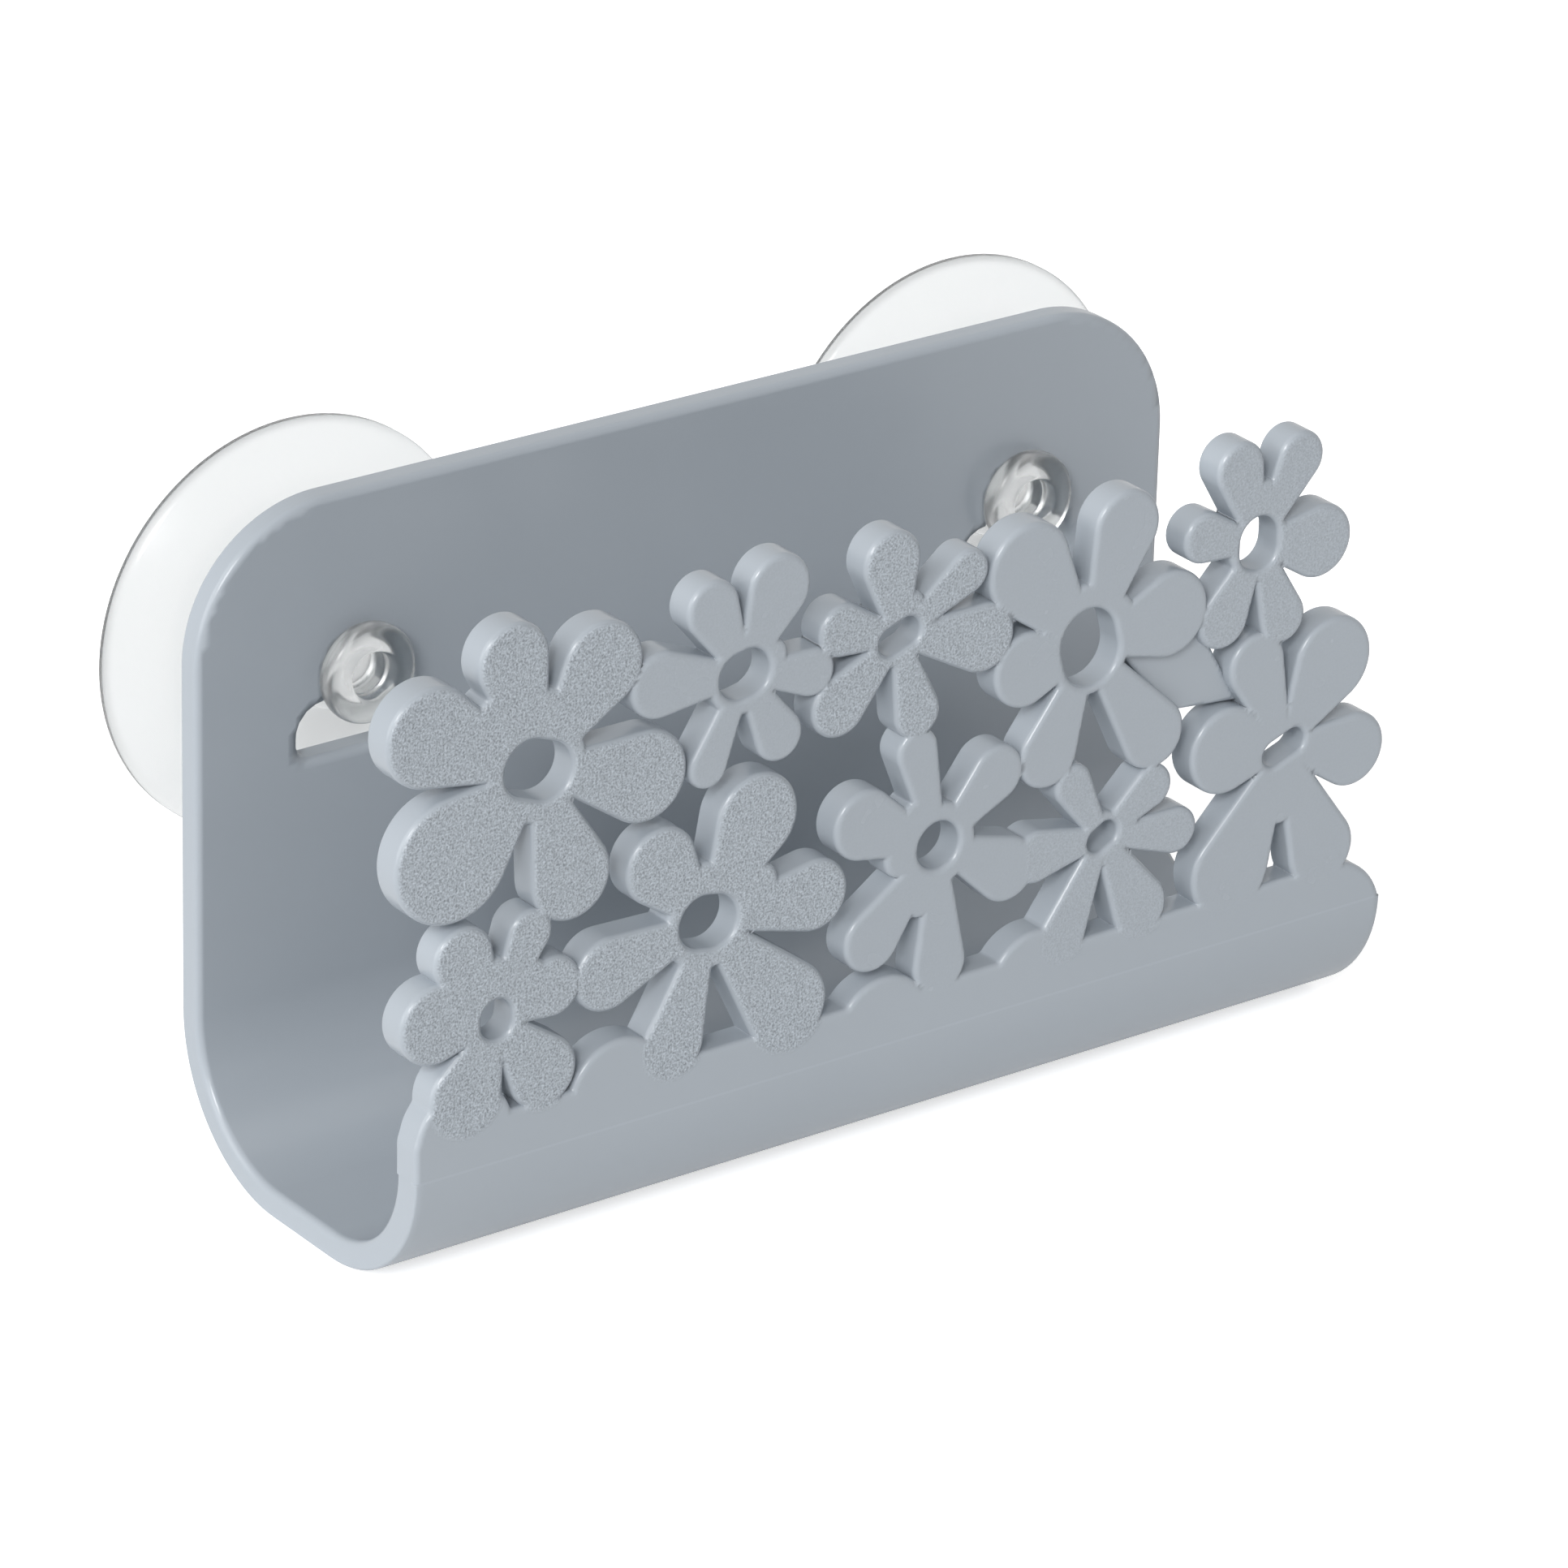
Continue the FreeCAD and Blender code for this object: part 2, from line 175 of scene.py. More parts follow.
def colour(name, text, default):
    """Linear colour property."""
    return FloatVectorProperty(name=name, description=text, default=default, size=3, subtype="COLOR",
                               min=0.0, max=1.0)


class TraySizes(bpy.types.PropertyGroup):
    """Sizes of the bent plate."""

    width: length("Width", "Width of plate and trough", TRAY_HIGH.x - TRAY_LOW.x)
    height: length("Height", "Trough underside to top edge", TRAY_HIGH.z - TRAY_LOW.z)
    wall: length("Wall", "Thickness of plate and trough", 3.2 * MM)
    corner: length("Top corner", "Radius of the plate's top corners", 17.5 * MM)
    gap: length("Gap", "Clear depth between plate and flower screen", 40.0 * MM)
    back_bend: length("Back bend", "Inner radius below the plate", 15.5 * MM)
    front_bend: length("Front bend", "Inner radius below the flower screen", 13.0 * MM)
    rounding: length("Edge rounding", "Radius along the rim and the keyholes", 0.85 * MM)
    back_rounding: length("Back rounding", "Radius along the back of the rim", 0.35 * MM)
    slot: length("Slot width", "Width of the keyhole's slot", 8.2 * MM)
    entry_width: length("Entry width", "Width of the keyhole's entry", 16.0 * MM)
    entry_height: length("Entry height", "Height of the keyhole's entry", 6.4 * MM)
    entry_drop: length("Entry drop", "Cup axis to the entry's lower edge", 9.8 * MM)


class ScreenSizes(bpy.types.PropertyGroup):
    """Sizes of the flower screen."""

    thickness: length("Thickness", "Thickness of lip and flowers", SCREEN_HIGH.y - SCREEN_LOW.y)
    lip: length("Lip height", "Parting line to the lip's top edge", 5.8 * MM)
    lip_left: length("Lip left", "Radius at the lip's left end", 2.0 * MM)
    lip_right: length("Lip right", "Radius at the lip's right end", 8.0 * MM)
    root: length("Petal root", "Radius of each petal at the flower's centre", 1.2 * MM)
    rounding: length("Edge rounding", "Radius along the flowers' front edges", 0.7 * MM)
    crease: length("Crease", "Softness of the creases between petals", 0.12 * MM)
    recess: length("Web recess", "Depth of the web behind the front", 1.5 * MM)


class CupSizes(bpy.types.PropertyGroup):
    """Sizes of one suction cup."""

    spacing: length("Spacing", "Distance between the cup axes", CUP_HIGH.x + CUP_LOW.x)
    drop: length("Drop", "Top edge of the plate to the cup axes", TRAY_HIGH.z)
    diameter: length("Diameter", "Rim diameter", CUP_HIGH.x - CUP_LOW.x)
    hollow: length("Hollow", "Depth of the hollow", 7.0 * MM)
    dish: length("Dish", "Rim plane to the foot of the hub", 9.0 * MM)
    hub: length("Hub", "Diameter of the hub", 13.0 * MM)
    neck: length("Neck", "Diameter of the neck", 7.6 * MM)
    head: length("Head", "Diameter of the head", 12.0 * MM)


class Finishes(bpy.types.PropertyGroup):
    """Colours and grain of the mouldings."""

    plastic: colour("Plastic", "Grey of the holder", (0.38, 0.418, 0.459))
    vinyl: colour("Vinyl", "Tint of the clear cups", (0.96, 0.98, 0.985))
    grain: length("Grain", "Size of the moulded grain", 0.26 * MM)


class StageLook(bpy.types.PropertyGroup):
    """Light and floor."""

    floor: colour("Floor", "Colour of the floor", (0.95, 0.95, 0.95))
    sky: FloatProperty(name="Sky", description="Strength of the even light", default=0.37)
    key: FloatProperty(name="Key", description="Strength of the light from the left", default=1.75)
    fill: FloatProperty(name="Fill", description="Strength of the light from the left front", default=1.5)
    camera_lift: FloatProperty(name="Camera lift", description="Floor's glow for the camera", default=0.45)
    mirror_lift: FloatProperty(name="Mirror lift", description="Floor's glow seen in any way", default=0.14)


def outline_gradient(field, u, v):
    """Unit gradient of a distance field by central differences."""
    step = 0.01 * MM
    du = field(u + step, v) - field(u - step, v)
    dv = field(u, v + step) - field(u, v - step)
    size = np.sqrt(du ** 2 + dv ** 2) + 1e-12
    return du / size, dv / size


def cut_grid(field, u_lines, v_lines, inset):
    """Net over a flat outline: the lines' crossings, with those near the outline moved on to it.

    The outline is where the field equals minus the inset. Cells with four kept corners give quads and
    cells with three give triangles, so every border point lies on the outline.
    """
    u, v = np.meshgrid(u_lines, v_lines, indexing="ij")
    reach = 0.5 * max(np.diff(u_lines).max(), np.diff(v_lines).max())
    value = field(u, v) + inset
    keep = value < reach
    near = np.abs(value) < reach
    for _ in range(5):
        gu, gv = outline_gradient(field, u, v)
        shift = np.where(near, field(u, v) + inset, 0.0)
        u = u - shift * gu
        v = v - shift * gv
    number = np.arange(u.size).reshape(u.shape)
    corner = np.stack([number[:-1, :-1], number[1:, :-1], number[1:, 1:], number[:-1, 1:]], -1)
    corner = corner.reshape(-1, 4)
    u, v, keep = u.ravel(), v.ravel(), keep.ravel()
    kept = keep[corner]
    count = kept.sum(1)
    quads = corner[count == 4]
    order = (np.argmin(kept[count == 3], 1)[:, None] + np.array([1, 2, 3])) % 4
    tris = np.take_along_axis(corner[count == 3], order, 1)

    def inside(faces):
        return faces[field(u[faces].mean(1), v[faces].mean(1)) + inset < 0.3 * reach]

    quads, tris = inside(quads), inside(tris)
    used = np.unique(np.concatenate([quads.ravel(), tris.ravel()]))
    return u[used], v[used], np.searchsorted(used, quads), np.searchsorted(used, tris)


def border_edges(quads, tris, total):
    """Directed edges that belong to one face only."""
    edges = np.concatenate([np.stack([f, np.roll(f, -1, 1)], -1).reshape(-1, 2) for f in (quads, tris)])
    return edges[~np.isin(edges[:, 0] * total + edges[:, 1], edges[:, 1] * total + edges[:, 0])]


def rounded(distance, radius):
    """Angle on a quarter-round edge for points at a distance inside the outline."""
    return np.arcsin(np.clip(1 + distance / radius, 0.0, 1.0))


def solid_sheet(field, u_lines, v_lines, place, thickness, front_radius, back_radius, cut_v):
    """Closed sheet with quarter-round edges, as points, normals, quads and triangles.

    Both faces are the cut net carried to the place. Their depth near the outline follows a quarter circle
    of the edge radius, up to 45 degrees on the front. A profile with the rest of both quarter circles and
    the straight side is carried along the border. The border at cut_v is left square.
    """
    inset = front_radius * (1 - math.sin(EIGHTH))
    u, v, quads, tris = cut_grid(field, u_lines, v_lines, inset)
    total = len(u)
    distance = field(u, v)
    gu, gv = outline_gradient(field, u, v)
    deep = thickness(v)
    edges = border_edges(quads, tris, total)
    rim = np.unique(edges)
    square = (np.abs(v[rim] - cut_v) < 1e-9) & (distance[rim] < -2 * inset)
    out_u = np.where(square, 0.0, gu[rim])
    out_v = np.where(square, 0.0, gv[rim])
    side_u = out_u
    side_v = np.where(square, np.sign(cut_v - v.mean()), gv[rim])

    def level(uu, vv, depth, angle, nu, nv, front):
        point, along_v, normal = place(uu, vv, depth)
        tilt = np.sin(angle)[:, None]
        flat = np.cos(angle)[:, None] * normal * (1.0 if front else -1.0)
        across = np.zeros_like(along_v)
        across[:, 0] = nu
        return point, flat + tilt * (across + nv[:, None] * along_v)

    front_angle = rounded(distance, front_radius)
    back_angle = rounded(distance, back_radius)
    levels = [level(u, v, front_radius * (1 - np.cos(front_angle)), front_angle, gu, gv, True)]
    rims = [rim]
    ones = np.ones(len(rim))
    start = total
    rest = math.asin(max(0.0, 1 - inset / back_radius))
    steps = [(t, True) for t in np.linspace(EIGHTH, math.pi / 2, 5)[1:]]
    steps += [(t, False) for t in np.linspace(math.pi / 2, rest, 5)[:-1]]
    for angle, front in steps:
        radius = front_radius if front else back_radius
        move = inset - radius * (1 - math.sin(angle))
        depth = radius * (1 - math.cos(angle))
        depth = depth * ones if front else deep[rim] - depth
        levels.append(level(u[rim] + out_u * move, v[rim] + out_v * move, depth, angle * ones,
                            side_u, side_v, front))
        rims.append(start + np.arange(len(rim)))
        start += len(rim)
    levels.append(level(u, v, deep - back_radius * (1 - np.cos(back_angle)), back_angle, gu, gv, False))
    rims.append(start + rim)
    points = np.concatenate([pair[0] for pair in levels])
    normals = np.concatenate([pair[1] for pair in levels])
    at = np.searchsorted(rim, edges)
    tail, head = at[:, 0], at[:, 1]
    sides = [np.stack([a[head], a[tail], b[tail], b[head]], -1) for a, b in zip(rims, rims[1:])]
    quads = np.concatenate([quads] + sides + [start + quads[:, ::-1]])
    tris = np.concatenate([tris, start + tris[:, ::-1]])
    return points, normals, quads, tris


def turned_solid(profile, centre_x, count):
    """Closed surface of revolution about a line along Y: each profile point (radius, y) makes a ring.

    The first and last points lie on the axis and become poles.
    """
    radius, level = profile[1:-1, 0], profile[1:-1, 1]
    turn = np.linspace(0, 2 * np.pi, count, endpoint=False)
    ring = np.stack([centre_x + radius[:, None] * np.cos(turn), np.repeat(level[:, None], count, 1),
                     radius[:, None] * np.sin(turn)], -1).reshape(-1, 3)
    poles = np.array([[centre_x, profile[0, 1], 0.0], [centre_x, profile[-1, 1], 0.0]])
    number = np.arange(len(ring)).reshape(len(radius), count)
    after = np.roll(number, -1, 1)
    quads = np.stack([number[:-1], number[1:], after[1:], after[:-1]], -1).reshape(-1, 4)
    first = np.full(count, len(ring))
    tris = np.concatenate([np.stack([first, number[0], after[0]], -1),
                           np.stack([first + 1, after[-1], number[-1]], -1)])
    return np.concatenate([ring, poles]), quads, tris


def soft_profile(corners, per_corner=7):
    """Polyline with rounded corners, from rows of radius, y and rounding.

    Each corner that has a rounding is replaced by a parabola arc.
    """
    corners = np.asarray(corners, float)
    point = corners[:, :2]
    before = np.roll(point, 1, 0) - point
    after = np.roll(point, -1, 0) - point
    before /= np.linalg.norm(before, axis=1)[:, None] + 1e-12
    after /= np.linalg.norm(after, axis=1)[:, None] + 1e-12
    size = corners[:, 2:3]
    t = np.linspace(0, 1, per_corner)[None, :, None]
    start = (point + before * size)[:, None]
    end = (point + after * size)[:, None]
    curve = (1 - t) ** 2 * start + 2 * t * (1 - t) * point[:, None] + t ** 2 * end
    rows = [c if s > 0 else p[None] for c, s, p in zip(curve, corners[:, 2], point)]
    return np.concatenate(rows)


def make_piece(name, points, quads, tris, normals=None):
    """Mesh object at the origin from arrays, with its faces turned outwards and shaded smooth."""
    face_points = [points[quads[:, [0, 1, 2]]], points[quads[:, [0, 2, 3]]], points[tris]]
    corners = np.concatenate(face_points)
    volume = np.einsum("ij,ij->i", corners[:, 0], np.cross(corners[:, 1], corners[:, 2])).sum()
    if volume < 0:
        quads, tris = quads[:, ::-1], tris[:, ::-1]
    mesh = bpy.data.meshes.new(name)
    mesh.vertices.add(len(points))
    mesh.vertices.foreach_set("co", points.astype(np.float32).ravel())
    loops = np.concatenate([quads.ravel(), tris.ravel()])
    sizes = np.concatenate([np.full(len(quads), 4), np.full(len(tris), 3)])
    mesh.loops.add(len(loops))
    mesh.loops.foreach_set("vertex_index", loops.astype(np.int32))
    mesh.polygons.add(len(sizes))
    mesh.polygons.foreach_set("loop_start", np.concatenate([[0], np.cumsum(sizes)[:-1]]).astype(np.int32))
    mesh.update(calc_edges=True)
    mesh.polygons.foreach_set("use_smooth", np.ones(len(sizes), bool))
    if mesh.validate():
        raise RuntimeError(name + ": the mesh had faults")
    if normals is not None:
        unit = normals / (np.linalg.norm(normals, axis=1)[:, None] + 1e-12)
        mesh.normals_split_custom_set_from_vertices(unit.astype(np.float32))
    piece = bpy.data.objects.new(name, mesh)
    bpy.context.scene.collection.objects.link(piece)
    return piece


def corner_box(u, v, half_u, top_v, radius):
    """Distance to a strip of half width half_u that ends at top_v with rounded corners."""
    qu = np.abs(u) - half_u + radius
    qv = v - top_v + radius
    outside = np.sqrt(np.maximum(qu, 0) ** 2 + np.maximum(qv, 0) ** 2)
    return outside + np.minimum(np.maximum(qu, qv), 0) - radius


def teardrop(u, v, petals, root):
    """Distance to the hull of a root circle at each flower's centre and a larger tip circle."""
    centre_u, centre_v, heading, reach, tip = [petals[:, k, None] for k in range(5)]
    du, dv = u - centre_u, v - centre_v
    along = du * np.cos(heading) + dv * np.sin(heading)
    aside = np.abs(dv * np.cos(heading) - du * np.sin(heading))
    lean = (root - tip) / reach
    slant = np.sqrt(1 - lean ** 2)
    share = slant * along - lean * aside
    flank = slant * aside + lean * along - root
    near_root = np.hypot(aside, along) - root
    near_tip = np.hypot(aside, along - reach) - tip
    return np.where(share < 0, near_root, np.where(share > slant * reach, near_tip, flank))


def oval(u, v, ovals):
    """Distance to tilted ovals, each a circle of the smaller half width drawn out along the longer axis."""
    centre_u, centre_v, half_u, half_v, tilt = [ovals[:, k, None] for k in range(5)]
    du, dv = u - centre_u, v - centre_v
    p = du * np.cos(tilt) + dv * np.sin(tilt)
    q = dv * np.cos(tilt) - du * np.sin(tilt)
    small = np.minimum(half_u, half_v)
    past_p = p - np.clip(p, small - half_u, half_u - small)
    past_q = q - np.clip(q, small - half_v, half_v - small)
    return np.hypot(past_p, past_q) - small


def lip_strip(u, v, half_u, sizes):
    """Distance to the lip: a strip with a tight left corner and a wide arc down to the right end."""
    strip = corner_box(u, v, half_u, 0.0, sizes.lip_left)
    radius = sizes.lip_right
    start = half_u - math.sqrt(radius ** 2 - (radius - sizes.lip) ** 2)
    bend = np.hypot(u - start, v + radius) - radius
    return np.where((u > start) & (v > -radius), np.maximum(strip, bend), strip)


def petal_rows():
    """Petals as rows of centre u, centre v, heading, reach and tip radius."""
    rows = [(x, h, 0, reach, tip) for x, h, _, _, petals in FLOWERS for _, reach, tip in petals]
    petals = np.array(rows) * MM
    petals[:, 2] = np.radians([angle for flower in FLOWERS for angle, _, _ in flower[4]])
    return petals


def grain_weight(u, v, facing, root):
    """Grain of the nearest flower, faded out at its outline and where the surface turns off the front."""
    first = np.cumsum([0] + [len(flower[4]) for flower in FLOWERS[:-1]])
    distance = np.minimum.reduceat(teardrop(u, v, petal_rows(), root), first, axis=0)
    nearest = distance.argmin(0)
    inside = np.clip(0.5 - distance.min(0) / GRAIN_FADE, 0, 1)
    return GRAIN[nearest] * inside * np.clip((facing - 0.75) / 0.2, 0, 1)


def screen_field(half_width, sizes):
    """Distance field of lip, humps and flowers, with the flowers' middles taken out.

    The pieces are joined by a soft minimum, minus the logarithm of the summed exponentials.
    """
    petals = petal_rows()
    discs = np.array([flower[:3] for flower in FLOWERS] + [(x, h - r, r) for x, h, r in HUMPS]) * MM
    holes = np.array([(x, h, hole[0], hole[1], 0) for x, h, _, hole, _ in FLOWERS]) * MM
    holes[:, 4] = np.radians([flower[3][2] for flower in FLOWERS])
    soft, root = sizes.crease, sizes.root

    def field(u, v):
        shape = np.shape(u)
        u, v = np.ravel(u), np.ravel(v)
        parts = [teardrop(u, v, petals, root),
                 np.hypot(u - discs[:, 0:1], v - discs[:, 1:2]) - discs[:, 2:3],
                 lip_strip(u, v, half_width, sizes)[None]]
        every = np.concatenate(parts)
        least = every.min(0)
        joined = least - soft * np.log(np.exp((least - every) / soft).sum(0)) + HAIR
        return np.maximum(joined, -oval(u, v, holes).min(0)).reshape(shape)

    return field


def web_field():
    """Distance field of a convex polygon: the furthest of the distances to its sides."""
    corner = np.array(WEB) * MM
    side = np.roll(corner, -1, 0) - corner
    side /= np.linalg.norm(side, axis=1)[:, None]
    outward = np.stack([-side[:, 1], side[:, 0]], -1)

    def field(u, v):
        offset = np.stack([u, v], -1)[..., None, :] - corner
        return (offset * outward).sum(-1).max(-1)

    return field


def keyhole_distance(u, v, axis_u, axis_v, tray):
    """Distance to a keyhole: a round-ended slot joined to an entry with rounded corners."""
    half_slot = tray.slot / 2
    middle = axis_v + tray.entry_drop - tray.entry_height / 2
    slot_end = axis_v + tray.entry_drop - half_slot
    slot = np.hypot(u - axis_u, v - np.clip(v, axis_v, slot_end)) - half_slot
    radius = np.where(v > middle, ENTRY_CORNER, ENTRY_SHOULDER)
    qu = np.abs(u - axis_u) - tray.entry_width / 2 + radius
    qv = np.abs(v - middle) - tray.entry_height / 2 + radius
    entry = np.hypot(np.maximum(qu, 0), np.maximum(qv, 0)) + np.minimum(np.maximum(qu, qv), 0) - radius
    return np.minimum(slot, entry)


def tray_field(tray, cups):
    """Distance field of the plate unrolled flat, with v measured down from its top edge."""

    def field(u, v):
        sheet = corner_box(u, -v, tray.width / 2, 0.0, tray.corner)
        left = keyhole_distance(u, v, -cups.spacing / 2, cups.drop, tray)
        right = keyhole_distance(u, v, cups.spacing / 2, cups.drop, tray)
        return np.maximum(sheet, -np.minimum(left, right))

    return field


def noise(nodes, coordinate, scale, detail, roughness=0.5):
    """Noise texture on Object coordinates."""
    texture = nodes.new("ShaderNodeTexNoise")
    texture.inputs["Scale"].default_value = scale
    texture.inputs["Detail"].default_value = detail
    texture.inputs["Roughness"].default_value = roughness
    nodes.id_data.links.new(coordinate, texture.inputs["Vector"])
    return texture


def spread(nodes, value, low, high):
    """Map a noise value from its middle range to new limits."""
    node = nodes.new("ShaderNodeMapRange")
    node.inputs["From Min"].default_value = 0.3
    node.inputs["From Max"].default_value = 0.7
    node.inputs["To Min"].default_value = low
    node.inputs["To Max"].default_value = high
    nodes.id_data.links.new(value, node.inputs["Value"])
    return node.outputs["Result"]


def math_node(nodes, operation, *inputs):
    """Math node whose inputs are sockets or plain numbers."""
    node = nodes.new("ShaderNodeMath")
    node.operation = operation
    for socket, value in zip(node.inputs, inputs):
        if isinstance(value, float):
            socket.default_value = value
        else:
            nodes.id_data.links.new(value, socket)
    return node.outputs["Value"]


def new_material(name):
    """Empty node material with a Principled shader and Object coordinates."""
    material = bpy.data.materials.new(name)
    material.use_nodes = True
    nodes = material.node_tree.nodes
    shader = nodes["Principled BSDF"]
    coordinate = nodes.new("ShaderNodeTexCoord").outputs["Object"]
    return material, nodes, material.node_tree.links, shader, coordinate


def moulded_plastic(name, finish, grain_name):
    """Satin grey moulding: faint clouding, slow ripples, a painted highlight along the parting line and,
    where the attribute says so, a sandy grain.

    The colour ramp runs from half to one and a half times the tone, so 0.5 gives the tone itself.
    """
    material, nodes, links, shader, coordinate = new_material(name)
    tone = Vector(finish.plastic)
    amount = nodes.new("ShaderNodeAttribute")
    amount.attribute_name = grain_name
    sand = noise(nodes, coordinate, 1.0 / finish.grain, 1.0)
    clouds = noise(nodes, coordinate, 40.0, 1.0)
    swing = math_node(nodes, "SUBTRACT", sand.outputs["Fac"], 0.5)
    grit = math_node(nodes, "MULTIPLY", swing, amount.outputs["Fac"])
    speckle = math_node(nodes, "MULTIPLY_ADD", grit, 1.6, spread(nodes, clouds.outputs["Fac"], 0.49, 0.51))
    axes = nodes.new("ShaderNodeSeparateXYZ")
    links.new(coordinate, axes.inputs["Vector"])
    # Painted highlight: a thin lighter band where the real parting line runs, standing in for light caught
    # by its ledge
    level = math_node(nodes, "COMPARE", axes.outputs["Z"], SCREEN_LOW.z, PARTING_HIGHLIGHT_HALF)
    front = math_node(nodes, "LESS_THAN", axes.outputs["Y"], SCREEN_LOW.y + MM)
    parting_highlight = math_node(nodes, "MULTIPLY", level, front)
    ramp = nodes.new("ShaderNodeValToRGB")
    ramp.color_ramp.elements[0].color = (*(tone * 0.5), 1.0)
    ramp.color_ramp.elements[1].color = (*(tone * 1.5), 1.0)
    links.new(math_node(nodes, "MULTIPLY_ADD", parting_highlight, 0.05, speckle), ramp.inputs["Fac"])
    links.new(ramp.outputs["Color"], shader.inputs["Base Color"])
    ripple = noise(nodes, coordinate, 220.0, 2.0)
    satin = spread(nodes, ripple.outputs["Fac"], 0.22, 0.27)
    gloss = math_node(nodes, "MULTIPLY_ADD", amount.outputs["Fac"], 0.15, satin)
    links.new(gloss, shader.inputs["Roughness"])
    height = math_node(nodes, "MULTIPLY_ADD", ripple.outputs["Fac"], 0.015,
                       math_node(nodes, "MULTIPLY", sand.outputs["Fac"], amount.outputs["Fac"]))
    bump = nodes.new("ShaderNodeBump")
    bump.inputs["Distance"].default_value = GRAIN_HEIGHT
    links.new(height, bump.inputs["Height"])
    links.new(bump.outputs["Normal"], shader.inputs["Normal"])
    shader.inputs["IOR"].default_value = 1.46
    return material


def clear_vinyl(name, finish):
    """Clear soft vinyl: a transmitting body with a faint haze, and painted shade that makes it greyer
    towards the hub and head.
    """
    material, nodes, links, shader, coordinate = new_material(name)
    tone = Vector(finish.vinyl)
    haze = noise(nodes, coordinate, 90.0, 2.0)
    ramp = nodes.new("ShaderNodeValToRGB")
    ramp.color_ramp.elements[0].color = (*(tone * 0.76), 1.0)
    ramp.color_ramp.elements[1].color = (*tone, 1.0)
    links.new(ramp.outputs["Color"], shader.inputs["Base Color"])
    axes = nodes.new("ShaderNodeSeparateXYZ")
    links.new(coordinate, axes.inputs["Vector"])
    # Painted shade: the vinyl darkens from clear to grey along the axis towards the hub and head
    reach = GREY_Y - CLEAR_Y
    climb = math_node(nodes, "MULTIPLY_ADD", axes.outputs["Y"], 1 / reach, -CLEAR_Y / reach)
    painted_shade = math_node(nodes, "MINIMUM", math_node(nodes, "MAXIMUM", climb, 0.0), 1.0)
    fade = math_node(nodes, "MULTIPLY_ADD", painted_shade, -0.9, spread(nodes, haze.outputs["Fac"], 0.93, 1.0))
    links.new(fade, ramp.inputs["Fac"])
    links.new(spread(nodes, haze.outputs["Fac"], 0.18, 0.26), shader.inputs["Roughness"])
    ripple = noise(nodes, coordinate, 160.0, 1.0)
    bump = nodes.new("ShaderNodeBump")
    bump.inputs["Distance"].default_value = VINYL_RIPPLE
    links.new(ripple.outputs["Fac"], bump.inputs["Height"])
    links.new(bump.outputs["Normal"], shader.inputs["Normal"])
    shader.inputs["Transmission Weight"].default_value = 1.0
    shader.inputs["IOR"].default_value = 1.45
    return material


def finish_piece(piece, material, body, node):
    """Give a piece its material, its body and the CAD node that it stands for."""
    piece.data.materials.append(material)
    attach(piece, body)
    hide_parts(node)


class SPONGE_OT_tray(bpy.types.Operator):
    """Build the plate and trough as one bent sheet with rounded edges and two keyholes"""

    bl_idname = "sponge.tray"
    bl_label = "Tray"

    def execute(self, context):
        tray, cups = context.scene.sponge_tray, context.scene.sponge_cups
        screen = context.scene.sponge_screen
        plate_front = TRAY_LOW.y + screen.thickness + tray.gap
        flat = tray.height - tray.wall - tray.back_bend
        back_arc = tray.back_bend * math.pi / 2
        floor = tray.gap - tray.back_bend - tray.front_bend
        front_arc = tray.front_bend * math.pi / 2
        ends = np.cumsum([0.0, flat, back_arc, floor, front_arc])

        def angles(v):
            back = np.clip((v - ends[1]) / tray.back_bend, 0, math.pi / 2)
            front = np.clip((v - ends[3]) / tray.front_bend, 0, math.pi / 2)
            return back, front

        def thickness(v):
            return tray.wall + (screen.thickness - tray.wall) * np.sin(angles(v)[1]) ** 2

        def place(u, v, depth):
            """Straight plate, quarter bend, flat floor and quarter bend along the inner face."""
            back, front = angles(v)
            along = np.clip(v - ends[2], 0, floor)
            y = plate_front - tray.back_bend * (1 - np.cos(back)) - along - tray.front_bend * np.sin(front)
            z = TRAY_HIGH.z - np.minimum(v, flat) - tray.back_bend * np.sin(back)
            z = z + tray.front_bend * (1 - np.cos(front))
            c, s = np.cos(back + front), np.sin(back + front)
            zero = np.zeros_like(u)
            point = np.stack([u, y + depth * c, z - depth * s], -1)
            return point, np.stack([zero, -s, -c], -1), np.stack([zero, -c, s], -1)

        u_lines = np.linspace(-tray.width / 2 - MM, tray.width / 2 + MM, 139)
        counts = [max(2, round(run / TRAY_STEP) + 1) for run in np.diff(ends)]
        pieces = [np.linspace(a, b, n)[:-1] for a, b, n in zip(ends, ends[1:], counts)]
        v_lines = np.concatenate([[-MM]] + pieces + [ends[-1:]])
        points, normals, quads, tris = solid_sheet(
            tray_field(tray, cups), u_lines, v_lines, place, thickness,
            tray.rounding, tray.back_rounding, ends[-1])
        piece = make_piece("tray_moulding", points, quads, tris, normals)
        material = moulded_plastic("satin_grey_plastic", context.scene.sponge_finish, "grain")
        finish_piece(piece, material, "holder", "holder_tray")
        return {"FINISHED"}


